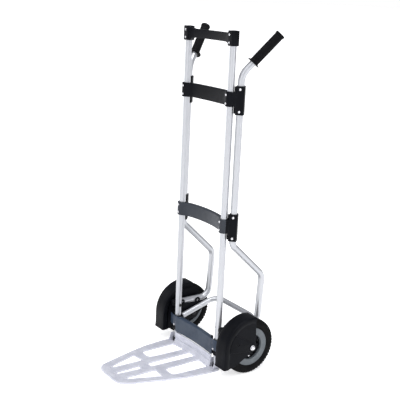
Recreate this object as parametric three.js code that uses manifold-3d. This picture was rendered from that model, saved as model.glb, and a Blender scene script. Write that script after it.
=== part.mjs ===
// Two-wheel aluminium hand truck with a toe plate that folds up against the frame.
// Millimetres, +Z up. The toe plate points to -Y and the handles lean to +Y.
// Inside the group everything is measured from the floor midway between the two front posts.

import * as THREE from "three";
import { mergeVertices } from "three/addons/utils/BufferGeometryUtils.js";
import Module from "manifold-3d";

const wasm = await Module();
wasm.setup();

// ---- driving dimensions ----

const POST_SETBACK = 99.3; // posts stand this far behind the middle of the footprint
const GAP = 0.3; // clearance between touching pieces

const TUBE_RADIUS = 12.5;
const TUBE_WALL = 1.8;
const TUBE_SIDES = 12;
const BORE_SIDES = 6;
const POST_X = 139;
const POST_BOTTOM = 22;
const POST_TOP = 1262;

// rear tube: one bent tube a side, from the handle down to the strut beside the post
const REAR_TUBE_X = POST_X + 2 * TUBE_RADIUS + GAP;
const REAR_TUBE_Y = 25;
const STRUT_Z = 163.4;
const STRUT_FRONT_Y = -9;
const ELBOW = { y: 165.3, z: STRUT_Z, bend: 42 };
const KNEE = { y: 175, z: 360, bend: 48 };
const HIP = { y: REAR_TUBE_Y, z: 499.3, bend: 35 };
const HANDLE_BEND = { y: REAR_TUBE_Y, z: 1125.8, bend: 70 };
const HANDLE_SLOPE = THREE.MathUtils.degToRad(48.4);
const HANDLE_SPLAY = THREE.MathUtils.degToRad(29.6); // the handles point outward as well as back
const GRIP_START = 56.5; // from the handle bend's corner, along the handle
const GRIP_LENGTH = 138;

const TOP_BAR = { bottom: 1223, top: 1276, beamBottom: 1234, beamTop: 1266 };
const UPPER_BAR_Z = 1038.5;
const MIDDLE_BAR_Z = 571;
const BAR_HEIGHT = 52;
const SLEEVE_DROP = 3; // the rear tube's sleeve sits this much below the bar's middle
const SLEEVE_HEIGHT = 103;
const SLEEVE_HALF = 16.5;
const RIVET_SPACING = 79;
const BOTTOM_BAR = { bottom: 59, top: 120, skirt: 4.5, tabBottom: 62, tabTop: 119 };

const COLLAR_RADIUS = 15.8; // outside of the clamps around the posts
const TAB_FRONT = -18.9; // front faces of the crossbar ends
const TAB_THICKNESS = 2.8;
const TAB_END_X = 143;
const SCREW_X = 137;
const CAP_HALF = 16.8; // half width of the caps on the posts
const BEND_START_X = 126; // crossbars start to curve back here
const BEND_END_X = 104;
const BAR_DEPTH = 15;

const BRACE_X = 135;
const BRACE_RADIUS = 11;
const BRACE_FRONT = { y: 18.5, z: 112.5 };
const BRACE_REAR = { y: 186.6, z: 165.5 };
const BRACE_BEND = 45;

const AXLE_Y = 83.4;
const AXLE_Z = 108.5;
const AXLE_RADIUS = 6;
const WHEEL_X = 215;
const WHEEL_RADIUS = AXLE_Z;
const WHEEL_SIDES = 28;
const TYRE_HALF_WIDTH = 25;
const RIM_RADIUS = 70.8;
const RIM_FLANGE_RADIUS = 76;
const HUB_RADIUS = 20;
const BUSH_RADIUS = 10;
const BUSH_CLEARANCE = 0.35;

const PLATE_X = 148.8; // middle plane of the axle bracket's plate
const PLATE_THICKNESS = 3;
const FENDER = { inner: 181, outer: 248, wall: 3, radius: 120, y: 80.4, bottom: 41 };

const TOE_LENGTH = 396; // from the posts' centre line to the tip
const TOE_HALF_WIDTH = 160;
const TOE_THICKNESS = 7;
const HINGE_Y = 0;
const HINGE_Z = 30;
const HINGE_PIN_RADIUS = 4;
const EAR_THICKNESS = 4;
const INNER_EAR_X = 120.7;
const OUTER_EAR_X = 153.2;
const LIP_TOP = 51;
const FOOT_NOTCH = -14; // the plate's rear edge is cut back around each foot

// ---- finishes ----

const FINISHES = {
  aluminium: { color: 0xd4d6dc, roughness: 0.32, metalness: 0.9 },
  castAluminium: { color: 0xc6c8d2, roughness: 0.45, metalness: 0.85 },
  steel: { color: 0xc9ccd0, roughness: 0.25, metalness: 1 },
  blackPlastic: { color: 0x17191c, roughness: 0.5, metalness: 0 },
  slatePlastic: { color: 0x343c48, roughness: 0.5, metalness: 0 },
  greyRim: { color: 0x757b80, roughness: 0.55, metalness: 0.1 },
  rubber: { color: 0x141415, roughness: 0.85, metalness: 0 },
};

// ---- solids ----

function toManifold(geometry) {
  const bare = geometry.clone();
  bare.deleteAttribute("normal");
  bare.deleteAttribute("uv");
  const merged = mergeVertices(bare, 1e-4);
  return new wasm.Manifold(new wasm.Mesh({
    numProp: 3,
    vertProperties: new Float32Array(merged.attributes.position.array),
    triVerts: new Uint32Array(merged.index.array),
  }));
}

function toGeometry(solid) {
  const mesh = solid.getMesh();
  const geometry = new THREE.BufferGeometry();
  geometry.setAttribute("position", new THREE.BufferAttribute(mesh.vertProperties, 3));
  geometry.setIndex(new THREE.BufferAttribute(mesh.triVerts, 1));
  geometry.computeVertexNormals();
  return geometry;
}

function join(...pieces) {
  return toGeometry(pieces.map(toManifold).reduce((sum, piece) => sum.add(piece)));
}

function cut(body, ...tools) {
  return toGeometry(tools.map(toManifold).reduce((rest, tool) => rest.subtract(tool), toManifold(body)));
}

function mirrorX(geometry) {
  const mirrored = mergeVertices(geometry.clone());
  mirrored.scale(-1, 1, 1);
  const index = mirrored.index;
  for (let i = 0; i < index.count; i += 3) {
    const second = index.getX(i + 1);
    index.setX(i + 1, index.getX(i + 2));
    index.setX(i + 2, second);
  }
  return mirrored;
}

function box(x0, x1, y0, y1, z0, z1) {
  const geometry = new THREE.BoxGeometry(x1 - x0, y1 - y0, z1 - z0);
  return geometry.translate((x0 + x1) / 2, (y0 + y1) / 2, (z0 + z1) / 2);
}

function rodX(radius, x0, x1, y, z, sides = 16) {
  const geometry = new THREE.CylinderGeometry(radius, radius, x1 - x0, sides);
  return geometry.rotateZ(Math.PI / 2).translate((x0 + x1) / 2, y, z);
}

function rodZ(radius, x, y, z0, z1, sides = 18) {
  const geometry = new THREE.CylinderGeometry(radius, radius, z1 - z0, sides);
  return geometry.rotateX(Math.PI / 2).translate(x, y, (z0 + z1) / 2);
}

// an outline drawn in X and Y, made thick along Z
function slabZ(outline, z0, z1, curveSegments = 8) {
  const geometry = new THREE.ExtrudeGeometry(outline, { depth: z1 - z0, bevelEnabled: false, curveSegments });
  return geometry.translate(0, 0, z0);
}

// an outline drawn in Y and Z, made thick along X
function slabX(outline, x0, x1, curveSegments = 8) {
  const geometry = new THREE.ExtrudeGeometry(outline, { depth: x1 - x0, bevelEnabled: false, curveSegments });
  const axes = new THREE.Matrix4().makeBasis(
    new THREE.Vector3(0, 1, 0), new THREE.Vector3(0, 0, 1), new THREE.Vector3(1, 0, 0));
  return geometry.applyMatrix4(axes).translate(x0, 0, 0);
}

// a profile of [across, radius] points turned about the X axis
function turnedX(profile, segments) {
  const points = profile.map(([across, radius]) => new THREE.Vector2(radius, across));
  return new THREE.LatheGeometry(points, segments).rotateZ(-Math.PI / 2);
}

function roundedRectangle(halfWidth, halfDepth, corner) {
  const shape = new THREE.Shape();
  shape.absarc(halfWidth - corner, halfDepth - corner, corner, 0, Math.PI / 2);
  shape.absarc(corner - halfWidth, halfDepth - corner, corner, Math.PI / 2, Math.PI);
  shape.absarc(corner - halfWidth, corner - halfDepth, corner, Math.PI, 1.5 * Math.PI);
  shape.absarc(halfWidth - corner, corner - halfDepth, corner, 1.5 * Math.PI, 2 * Math.PI);
  return shape;
}

// ---- bent tubes ----

// straight runs joined by bends; the stations are the run ends and points along each bend
class BentPath extends THREE.Curve {
  constructor(corners, bendSteps = 4) {
    super();
    this.stations = [];
    this.tangents = [];
    corners.forEach((corner, i) => {
      const before = corners[i - 1];
      const after = corners[i + 1];
      if (!before || !after) {
        const along = before ? corner.at.clone().sub(before.at) : after.at.clone().sub(corner.at);
        this.addStation(corner.at, along.normalize());
        return;
      }
      const into = corner.at.clone().sub(before.at).normalize();
      const out = after.at.clone().sub(corner.at).normalize();
      const turn = into.angleTo(out);
      const start = corner.at.clone().addScaledVector(into, -corner.bend * Math.tan(turn / 2));
      const inward = out.clone().addScaledVector(into, -out.dot(into)).normalize();
      for (let step = 0; step <= bendSteps; step++) {
        const angle = (turn * step) / bendSteps;
        const point = start.clone().addScaledVector(into, corner.bend * Math.sin(angle));
        point.addScaledVector(inward, corner.bend * (1 - Math.cos(angle)));
        const tangent = into.clone().multiplyScalar(Math.cos(angle));
        this.addStation(point, tangent.addScaledVector(inward, Math.sin(angle)));
      }
    });
  }

  addStation(point, tangent) {
    this.stations.push(point);
    this.tangents.push(tangent);
  }

  get steps() {
    return this.stations.length - 1;
  }

  getSpacedPoints() {
    return this.stations;
  }

  getTangentAt(along, target = new THREE.Vector3()) {
    return target.copy(this.tangents[Math.round(along * this.steps)]);
  }
}

function tubeSection(radius, wall, x = 0, y = 0) {
  const circle = (r, sides) => new THREE.EllipseCurve(x, y, r, r).getPoints(sides).slice(1);
  const section = new THREE.Shape(circle(radius, TUBE_SIDES));
  section.holes.push(new THREE.Path(circle(radius - wall, BORE_SIDES)));
  return section;
}

function bentTube(corners, radius, wall) {
  const path = new BentPath(corners);
  const options = { extrudePath: path, steps: path.steps };
  return new THREE.ExtrudeGeometry(tubeSection(radius, wall), options);
}

// ---- the scene graph ----

const truck = new THREE.Group();
truck.position.y = POST_SETBACK;

function add(name, geometry, finish, parent = truck) {
  const mesh = new THREE.Mesh(geometry, new THREE.MeshStandardMaterial(FINISHES[finish]));
  mesh.name = name;
  parent.add(mesh);
  return mesh;
}

// the right-hand piece as drawn, and its mirror image on the left
function addPair(name, rightGeometry, finish) {
  add(`right_${name}`, rightGeometry, finish);
  add(`left_${name}`, mirrorX(rightGeometry), finish);
}

// ---- posts and feet ----

function post() {
  const tube = slabZ(tubeSection(TUBE_RADIUS, TUBE_WALL, POST_X, 0), POST_BOTTOM, POST_TOP);
  return cut(tube,
    rodX(STRUT_BOLT.hole, POST_X - 20, POST_X + 20, 0, STRUT_Z, 10),
    rodX(HINGE_PIN_RADIUS + GAP, POST_X - 20, POST_X + 20, HINGE_Y, HINGE_Z, 12));
}

const STRUT_BOLT = { shank: 3, hole: 3.4, head: 6.5, headHeight: 3 };

// plastic foot plugged into the post
function foot() {
  const block = slabZ(roundedRectangle(13, 13, 6), 2, POST_BOTTOM - GAP, 3).translate(POST_X, 0, 0);
  const plug = rodZ(8.8, POST_X, 0, POST_BOTTOM - 2, POST_BOTTOM + 26, 12);
  return cut(join(block, plug), rodX(HINGE_PIN_RADIUS + GAP, 110, 170, HINGE_Y, HINGE_Z, 12));
}

function hingePin() {
  const headHeight = 2;
  const headRadius = 6.5;
  const start = INNER_EAR_X - GAP;
  const end = OUTER_EAR_X + EAR_THICKNESS + GAP;
  return join(
    rodX(HINGE_PIN_RADIUS, start - 1, end + 1, HINGE_Y, HINGE_Z, 12),
    rodX(headRadius, start - headHeight, start, HINGE_Y, HINGE_Z, 12),
    rodX(headRadius, end, end + headHeight, HINGE_Y, HINGE_Z, 12),
  );
}

addPair("post", post(), "aluminium");
addPair("foot", foot(), "blackPlastic");
addPair("hinge_pin", hingePin(), "steel");

// ---- crossbars ----

// front face of a bowed crossbar: flat tabs on the posts, then back to the bow between them
function barFront(x, edgeY, middleY) {
  const distance = Math.abs(x);
  const blend = THREE.MathUtils.smoothstep(-distance, -BEND_START_X, -BEND_END_X);
  const bow = middleY - (middleY - edgeY) * (distance / BEND_END_X) ** 2;
  return THREE.MathUtils.lerp(TAB_FRONT, bow, blend);
}

// plan outline that follows the bar's front face over halfLength, to the given depth
function barBand(halfLength, depth, edgeY, middleY) {
  const steps = 10;
  const along = Array.from({ length: steps + 1 }, (_, i) => halfLength * (2 * i / steps - 1));
  const front = along.map((x) => new THREE.Vector2(x, barFront(x, edgeY, middleY)));
  const back = front.map((point) => new THREE.Vector2(point.x, point.y + depth)).reverse();
  return new THREE.Shape([...front, ...back]);
}

// a channel open to the rear: front wall, top and bottom flanges, and the end tabs; the front wall
// may hang below the bottom flange as a skirt
function crossbar(bottom, top, tabBottom, tabTop, edgeY, middleY, skirt = 0) {
  const flange = 3;
  const flangeEnd = 112;
  const wall = slabZ(barBand(BEND_START_X, TAB_THICKNESS, edgeY, middleY), bottom - skirt, top);
  const deep = barBand(flangeEnd, BAR_DEPTH, edgeY, middleY);
  const tab = (side) => {
    const inner = side * (BEND_START_X - 1);
    const outer = side * TAB_END_X;
    return box(Math.min(inner, outer), Math.max(inner, outer),
      TAB_FRONT, TAB_FRONT + TAB_THICKNESS, tabBottom, tabTop);
  };
  return join(wall, slabZ(deep, top - flange, top), slabZ(deep, bottom, bottom + flange), tab(-1), tab(1));
}

function straightCrossbar(middleZ, edgeY, middleY) {
  const bottom = middleZ - BAR_HEIGHT / 2;
  const top = middleZ + BAR_HEIGHT / 2;
  return crossbar(bottom, top, bottom, top, edgeY, middleY);
}

// the top bar carries a cap over each post
function topBar() {
  const capCorner = 7;
  const capFrontX = POST_X - CAP_HALF + 1;
  const beam = new THREE.Shape();
  const sag = 11;
  beam.moveTo(-capFrontX, 2 - CAP_HALF);
  beam.quadraticCurveTo(0, 2 - CAP_HALF + 2 * sag, capFrontX, 2 - CAP_HALF);
  beam.lineTo(capFrontX, 0);
  beam.quadraticCurveTo(0, 2 * sag, -capFrontX, 0);
  const pieces = [slabZ(beam, TOP_BAR.beamBottom, TOP_BAR.beamTop, 10)];
  const bores = [];
  for (const side of [-1, 1]) {
    const cap = slabZ(roundedRectangle(CAP_HALF, CAP_HALF, capCorner), TOP_BAR.bottom, TOP_BAR.top, 4);
    pieces.push(cap.translate(side * POST_X, 0, 0));
    bores.push(rodZ(TUBE_RADIUS + GAP, side * POST_X, 0, TOP_BAR.bottom - 1, POST_TOP + GAP));
  }
  return cut(join(...pieces), ...bores);
}

add("top_bar", topBar(), "blackPlastic");
add("upper_crossbar", straightCrossbar(UPPER_BAR_Z, 1, 4), "blackPlastic");
add("middle_crossbar", straightCrossbar(MIDDLE_BAR_Z, 2, 13), "slatePlastic");
const { bottom, top, tabBottom, tabTop, skirt } = BOTTOM_BAR;
add("bottom_crossbar", crossbar(bottom, top, tabBottom, tabTop, -16.5, -11.5, skirt), "slatePlastic");

// ---- fasteners with a domed head, drawn with the head along +Y ----

function domedHead(radius, height, segments = 8) {
  const profile = [[0, 0], [radius, 0], [radius * 0.85, height * 0.55], [0, height]];
  return new THREE.LatheGeometry(profile.map(([r, h]) => new THREE.Vector2(r, h)), segments);
}

function addFastener(name, radius, height, outward, seat) {
  const mesh = add(name, domedHead(radius, height), "steel");
  mesh.quaternion.setFromUnitVectors(new THREE.Vector3(0, 1, 0), outward);
  mesh.position.copy(seat).addScaledVector(outward, GAP);
}

function addFrontScrews(bar, face, heights) {
  const forward = new THREE.Vector3(0, -1, 0);
  for (const [sideName, side] of [["right", 1], ["left", -1]]) {
    heights.forEach((z, i) => {
      const seat = new THREE.Vector3(side * SCREW_X, face, z);
      addFastener(`${sideName}_${bar}_screw_${i + 1}`, 4.2, 1.6, forward, seat);
    });
  }
}

addFrontScrews("top_bar", -CAP_HALF, [1262, 1234]);
addFrontScrews("upper_crossbar", TAB_FRONT, [1053.5, 1022.5]);
addFrontScrews("middle_crossbar", TAB_FRONT, [587, 557]);
addFrontScrews("bottom_crossbar", TAB_FRONT, [82]);

// ---- brackets that hold the rear tubes to the posts ----

const DIAGONAL = Math.atan2(REAR_TUBE_Y, REAR_TUBE_X - POST_X); // from post to rear tube, in plan

function tubeBracket(barZ) {
  const sleeveZ = barZ - SLEEVE_DROP;
  const reach = Math.hypot(REAR_TUBE_X - POST_X, REAR_TUBE_Y);
  const clampOutline = new THREE.Shape();
  clampOutline.absarc(0, 0, COLLAR_RADIUS, Math.PI / 2, 1.5 * Math.PI);
  clampOutline.lineTo(reach, -COLLAR_RADIUS);
  clampOutline.lineTo(reach, COLLAR_RADIUS);
  const clamp = slabZ(clampOutline, barZ - BAR_HEIGHT / 2, barZ + BAR_HEIGHT / 2, 10);
  const sleeve = slabZ(roundedRectangle(SLEEVE_HALF, SLEEVE_HALF, 8),
    sleeveZ - SLEEVE_HEIGHT / 2, sleeveZ + SLEEVE_HEIGHT / 2, 4).translate(reach, 0, 0);
  const body = join(clamp, sleeve).rotateZ(DIAGONAL).translate(POST_X, 0, 0);
  return cut(body,
    rodZ(TUBE_RADIUS + GAP, POST_X, 0, barZ - 80, barZ + 80),
    rodZ(TUBE_RADIUS + GAP, REAR_TUBE_X, REAR_TUBE_Y, barZ - 80, barZ + 80));
}

for (const [level, barZ] of [["upper", UPPER_BAR_Z], ["middle", MIDDLE_BAR_Z]]) {
  addPair(`${level}_bracket`, tubeBracket(barZ), "blackPlastic");
  for (const [sideName, side] of [["right", 1], ["left", -1]]) {
    const outward = new THREE.Vector3(side * Math.sin(DIAGONAL), -Math.cos(DIAGONAL), 0);
    [0.5, -0.5].forEach((share, i) => {
      const z = barZ - SLEEVE_DROP + share * RIVET_SPACING;
      const seat = new THREE.Vector3(side * REAR_TUBE_X, REAR_TUBE_Y, z).addScaledVector(outward, SLEEVE_HALF);
      addFastener(`${sideName}_${level}_bracket_rivet_${i + 1}`, 5, 2.4, outward, seat);
    });
  }
}

// ---- rear tubes, grips and the brace ----

function handleDirection(side) {
  const direction = new THREE.Vector3(0, Math.cos(HANDLE_SLOPE), Math.sin(HANDLE_SLOPE));
  return direction.applyAxisAngle(new THREE.Vector3(0, 0, 1), -side * HANDLE_SPLAY);
}

function rearTube() {
  const at = (y, z) => new THREE.Vector3(REAR_TUBE_X, y, z);
  const corner = at(HANDLE_BEND.y, HANDLE_BEND.z);
  const tube = bentTube([
    { at: corner.clone().addScaledVector(handleDirection(1), GRIP_START + GRIP_LENGTH - 6) },
    { at: corner, bend: HANDLE_BEND.bend },
    { at: at(HIP.y, HIP.z), bend: HIP.bend },
    { at: at(KNEE.y, KNEE.z), bend: KNEE.bend },
    { at: at(ELBOW.y, ELBOW.z), bend: ELBOW.bend },
    { at: at(STRUT_FRONT_Y, STRUT_Z) },
  ], TUBE_RADIUS, TUBE_WALL);
  return cut(tube, rodX(STRUT_BOLT.hole, REAR_TUBE_X - 20, REAR_TUBE_X + 20, 0, STRUT_Z, 10));
}

// rubber grip closed at its outer end, with a flange by the thumb
function grip() {
  const outer = 16.7;
  const bore = TUBE_RADIUS + GAP;
  const profile = [
    [bore, 0], [25, 0], [25, 3.5], [outer, 7], [outer, GRIP_LENGTH - 6], [18.4, GRIP_LENGTH - 4],
    [18.4, GRIP_LENGTH - 1], [16.5, GRIP_LENGTH], [0, GRIP_LENGTH],
    [0, GRIP_LENGTH - 5], [bore, GRIP_LENGTH - 5], [bore, 0],
  ];
  const points = profile.map(([radius, along]) => new THREE.Vector2(radius, along));
  return new THREE.LatheGeometry(points, 16);
}

function braceBar() {
  const front = (side) => ({ at: new THREE.Vector3(side * BRACE_X, BRACE_FRONT.y, BRACE_FRONT.z) });
  const rear = (side) => ({
    at: new THREE.Vector3(side * BRACE_X, BRACE_REAR.y, BRACE_REAR.z), bend: BRACE_BEND,
  });
  return bentTube([front(-1), rear(-1), rear(1), front(1)], BRACE_RADIUS, TUBE_WALL);
}

// bolt along X with a head at each end, inside and outside of what it clamps
function bolt(spec, x0, x1, y, z) {
  return join(
    rodX(spec.shank, x0 - 1, x1 + 1, y, z, 10),
    rodX(spec.head, x0 - spec.headHeight, x0, y, z, 6),
    rodX(spec.head, x1, x1 + spec.headHeight, y, z, 6),
  );
}

addPair("rear_tube", rearTube(), "aluminium");
for (const [sideName, side] of [["right", 1], ["left", -1]]) {
  const mesh = add(`${sideName}_grip`, grip(), "rubber");
  const along = handleDirection(side);
  mesh.quaternion.setFromUnitVectors(new THREE.Vector3(0, 1, 0), along);
  mesh.position.set(side * REAR_TUBE_X, HANDLE_BEND.y, HANDLE_BEND.z).addScaledVector(along, GRIP_START);
}
add("rear_brace", braceBar(), "aluminium");
addPair("strut_bolt",
  bolt(STRUT_BOLT, POST_X - TUBE_RADIUS - GAP, REAR_TUBE_X + TUBE_RADIUS + GAP, 0, STRUT_Z), "steel");

// ---- axle brackets: a clamp on the post with a plate behind it and a wing to the fender ----

function axleBracket() {
  const collar = rodZ(COLLAR_RADIUS, POST_X, 0, BOTTOM_BAR.bottom + 1, BOTTOM_BAR.top);
  const plate = new THREE.Shape();
  plate.moveTo(5, 60);
  plate.lineTo(60, 82);
  plate.absarc(AXLE_Y, AXLE_Z, 24, -0.7 * Math.PI, -0.1 * Math.PI);
  plate.lineTo(150, 150);
  plate.lineTo(150, 158);
  plate.lineTo(112, 158);
  plate.absarc(100, 162, 11, 0, Math.PI);
  plate.lineTo(86, 154);
  plate.lineTo(36, 157);
  plate.absarc(27, 166, 10, 0, 0.75 * Math.PI);
  plate.lineTo(13, 172);
  plate.lineTo(13, 118);
  plate.lineTo(5, 118);
  plate.holes.push(new THREE.Path().absarc(100, 162, 5, 0, 2 * Math.PI, true));
  plate.holes.push(new THREE.Path().absarc(27, 166, 4.5, 0, 2 * Math.PI, true));
  const half = PLATE_THICKNESS / 2;
  const wing = box(POST_X + 6, 172, -COLLAR_RADIUS, -11, 60, BOTTOM_BAR.top - 1);
  const body = join(collar, slabX(plate, PLATE_X - half, PLATE_X + half, 4), wing);
  return cut(body,
    rodZ(TUBE_RADIUS + GAP, POST_X, 0, 40, 180),
    rodX(AXLE_RADIUS + GAP, 140, 160, AXLE_Y, AXLE_Z));
}

addPair("axle_bracket", axleBracket(), "blackPlastic");
// ---- axles and what is threaded on them ----

function ringX(outer, inner, x0, x1, segments = 16) {
  return turnedX([[x0, inner], [x0, outer], [x1, outer], [x1, inner], [x0, inner]], segments);
}

// stub axle: head inside the bracket's plate, and a shoulder out to the fender
function axle() {
  const inside = PLATE_X - PLATE_THICKNESS / 2 - GAP;
  const outside = PLATE_X + PLATE_THICKNESS / 2 + GAP;
  return turnedX([
    [inside - 5, 0], [inside - 5, 9], [inside, 9], [inside, AXLE_RADIUS], [outside, AXLE_RADIUS],
    [outside, 9], [FENDER.inner - GAP, 9], [FENDER.inner - GAP, AXLE_RADIUS],
    [FENDER.outer + 4.5, AXLE_RADIUS], [FENDER.outer + 4.5, 0],
  ], 16).translate(0, AXLE_Y, AXLE_Z);
}

// closed nut with a flat washer face
function axleNut() {
  const base = FENDER.outer + GAP;
  return turnedX([
    [base, AXLE_RADIUS + GAP], [base, 11], [base + 1.8, 11], [base + 1.8, 9], [base + 5.5, 9],
    [base + 8, 6.5], [base + 9.2, 0], [base + 5, 0], [base + 5, AXLE_RADIUS + GAP],
    [base, AXLE_RADIUS + GAP],
  ], 16).translate(0, AXLE_Y, AXLE_Z);
}

addPair("axle", axle(), "steel");
addPair("axle_nut", axleNut(), "steel");

// ---- wheels ----

function tyre() {
  const outside = [[19, 71.2], [19, 76.4], [TYRE_HALF_WIDTH, 90], [22.5, 101], [12, WHEEL_RADIUS]];
  const inside = [[19, 92], [14, 71.2]];
  const flip = ([across, radius]) => [-across, radius];
  const profile = [
    ...outside, ...outside.map(flip).reverse(), ...inside.map(flip).reverse(), ...inside, outside[0],
  ];
  return turnedX(profile.reverse(), WHEEL_SIDES);
}

// grey rim: a broad outer face, the barrel and the inner flange
function rim() {
  const face = 22;
  const bead = 19.3;
  return turnedX([
    [face, 50], [face, RIM_FLANGE_RADIUS], [bead, RIM_FLANGE_RADIUS], [bead, RIM_RADIUS],
    [-bead, RIM_RADIUS], [-bead, RIM_FLANGE_RADIUS], [-face, RIM_FLANGE_RADIUS], [-face, 60],
    [2 - face, 60], [2 - face, RIM_RADIUS - 3], [bead, RIM_RADIUS - 3], [bead, 50], [face, 50],
  ].reverse(), WHEEL_SIDES);
}

// dark hub with a recessed web and five round holes
function hub() {
  const webRadius = RIM_RADIUS - 3 - GAP;
  const turned = turnedX([
    [-23, BUSH_RADIUS + GAP], [-23, HUB_RADIUS], [2, HUB_RADIUS], [2, webRadius], [8, webRadius],
    [8, HUB_RADIUS], [23, HUB_RADIUS], [23, BUSH_RADIUS + GAP], [-23, BUSH_RADIUS + GAP],
  ], WHEEL_SIDES);
  const holes = Array.from({ length: 5 }, (_, i) => {
    const angle = (2 * Math.PI * i) / 5 + Math.PI / 2;
    return rodX(10, -4, 14, 44 * Math.cos(angle), 44 * Math.sin(angle), 12);
  });
  return cut(turned, ...holes);
}

for (const [sideName, side] of [["right", 1], ["left", -1]]) {
  const wheel = new THREE.Group();
  wheel.position.set(side * WHEEL_X, AXLE_Y, AXLE_Z);
  truck.add(wheel);
  const facing = (geometry) => (side > 0 ? geometry : mirrorX(geometry));
  add(`${sideName}_tyre`, facing(tyre()), "rubber", wheel);
  add(`${sideName}_rim`, facing(rim()), "greyRim", wheel);
  add(`${sideName}_hub`, facing(hub()), "blackPlastic", wheel);
  add(`${sideName}_axle_bush`, ringX(BUSH_RADIUS, AXLE_RADIUS + BUSH_CLEARANCE, -26, 26), "steel", wheel);
}

// ---- fenders ----

// outer edge of the fender: from behind the top, over the front, then straight down to a small flared lip
function fenderEdge(inset) {
  const steps = 8;
  const points = [];
  const radius = FENDER.radius - inset;
  for (let i = 0; i <= steps; i++) {
    const angle = THREE.MathUtils.degToRad(80 + (100 * i) / steps);
    points.push(new THREE.Vector2(FENDER.y + radius * Math.cos(angle), AXLE_Z + radius * Math.sin(angle)));
  }
  const front = points[steps].x;
  points.push(new THREE.Vector2(front, FENDER.bottom + 9));
  points.push(new THREE.Vector2(front - 2, FENDER.bottom));
  return points;
}

function fender() {
  const outer = fenderEdge(0);
  const cover = new THREE.Shape([...outer, ...fenderEdge(FENDER.wall).reverse()]);
  const side = new THREE.Shape([...outer, new THREE.Vector2(2, AXLE_Z - 62)]);
  side.absarc(AXLE_Y, AXLE_Z, 20, -0.32 * Math.PI, 0.06 * Math.PI);
  const pieces = [
    slabX(cover, FENDER.inner, FENDER.outer),
    slabX(side, FENDER.inner, FENDER.inner + FENDER.wall, 4),
    slabX(side, FENDER.outer - FENDER.wall, FENDER.outer, 4),
  ];
  return cut(join(...pieces), rodX(AXLE_RADIUS + GAP, 170, 260, AXLE_Y, AXLE_Z));
}

addPair("fender", fender(), "blackPlastic");

// ---- toe plate ----

// rounded opening given by its corners, in order
function opening(corners, radius) {
  const path = new THREE.Path();
  corners.forEach((corner, i) => {
    const before = corners[(i + corners.length - 1) % corners.length];
    const after = corners[(i + 1) % corners.length];
    const toward = (other) => corner.clone().addScaledVector(other.clone().sub(corner).normalize(), radius);
    const start = toward(before);
    const end = toward(after);
    if (i === 0) path.moveTo(start.x, start.y);
    else path.lineTo(start.x, start.y);
    path.quadraticCurveTo(corner.x, corner.y, end.x, end.y);
  });
  path.closePath();
  return path;
}

function toeOutline() {
  const w = TOE_HALF_WIDTH;
  const outline = new THREE.Shape();
  outline.moveTo(-w, -2);
  outline.quadraticCurveTo(-w - 6, -2, -w - 6, -10);
  outline.lineTo(-w - 6, -55);
  outline.quadraticCurveTo(-w - 5, -80, -w, -115);
  outline.bezierCurveTo(2 - w, -165, -116, -290, -94, -358);
  outline.bezierCurveTo(-86, -384, -66, -TOE_LENGTH, -38, -TOE_LENGTH);
  outline.lineTo(38, -TOE_LENGTH);
  outline.bezierCurveTo(66, -TOE_LENGTH, 86, -384, 94, -358);
  outline.bezierCurveTo(116, -290, w - 2, -165, w, -115);
  outline.quadraticCurveTo(w + 5, -80, w + 6, -55);
  outline.lineTo(w + 6, -10);
  outline.quadraticCurveTo(w + 6, -2, w, -2);
  for (const side of [1, -1]) {
    const edges = [OUTER_EAR_X, INNER_EAR_X + EAR_THICKNESS].map((x) => side * x);
    if (side < 0) edges.reverse();
    outline.lineTo(edges[0], -2);
    outline.lineTo(edges[0], FOOT_NOTCH);
    outline.lineTo(edges[1], FOOT_NOTCH);
    outline.lineTo(edges[1], -2);
  }
  return outline;
}

function toeOpenings() {
  const corners = (list, side) => list.map(([x, y]) => new THREE.Vector2(side * x, y));
  const openings = [
    opening(corners([[-17, -24], [17, -24], [17, -219], [-17, -219]], 1), 16),
    opening(corners([[-9, -263], [9, -263], [7, -358], [-7, -358]], 1), 6),
  ];
  for (const side of [-1, 1]) {
    openings.push(opening(corners([[59, -30], [117, -30], [117, -180], [59, -180]], side), 24));
    openings.push(opening(corners([[52, -232], [97, -232], [62, -346], [50, -346]], side), 4));
  }
  return openings;
}

// upright lip behind the load face, bowed back in its middle
function toeLip() {
  const end = INNER_EAR_X + EAR_THICKNESS;
  const front = -19;
  const bow = 7;
  const lip = new THREE.Shape();
  lip.moveTo(-end, front);
  lip.quadraticCurveTo(0, front + 2 * bow, end, front);
  lip.lineTo(end, front + EAR_THICKNESS);
  lip.quadraticCurveTo(0, front + 2 * bow + EAR_THICKNESS, -end, front + EAR_THICKNESS);
  return slabZ(lip, TOE_THICKNESS - 1, LIP_TOP, 10);
}

function ear(front, shoulder) {
  const outline = new THREE.Shape();
  outline.moveTo(front, 1);
  outline.lineTo(-2, 1);
  outline.absarc(HINGE_Y, HINGE_Z, 10, -0.3 * Math.PI, Math.PI / 2);
  outline.lineTo(shoulder, HINGE_Z + 10);
  return outline;
}

function toePlate() {
  const plate = toeOutline();
  plate.holes.push(...toeOpenings());
  const pieces = [slabZ(plate, 0, TOE_THICKNESS, 4), toeLip()];
  for (const side of [-1, 1]) {
    for (const [outline, start] of [[ear(-19, -15), INNER_EAR_X], [ear(-32, -20), OUTER_EAR_X]]) {
      const edge = side > 0 ? start : -start - EAR_THICKNESS;
      pieces.push(slabX(outline, edge, edge + EAR_THICKNESS, 5));
    }
  }
  return cut(join(...pieces), rodX(HINGE_PIN_RADIUS + GAP, -170, 170, HINGE_Y, HINGE_Z, 12));
}

add("toe_plate", toePlate(), "castAluminium");

export default truck;
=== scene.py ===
"""Visual model of a two-wheel hand truck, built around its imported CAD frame. Blender 4.5.

Shapes are drawn in millimetres, measured from the floor midway between the two posts
(+X right, +Y toward the handles, +Z up), and become metres in the row frame when they are made.
"""

import math

import bmesh
import bpy
from mathutils import Matrix, Quaternion, Vector


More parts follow.
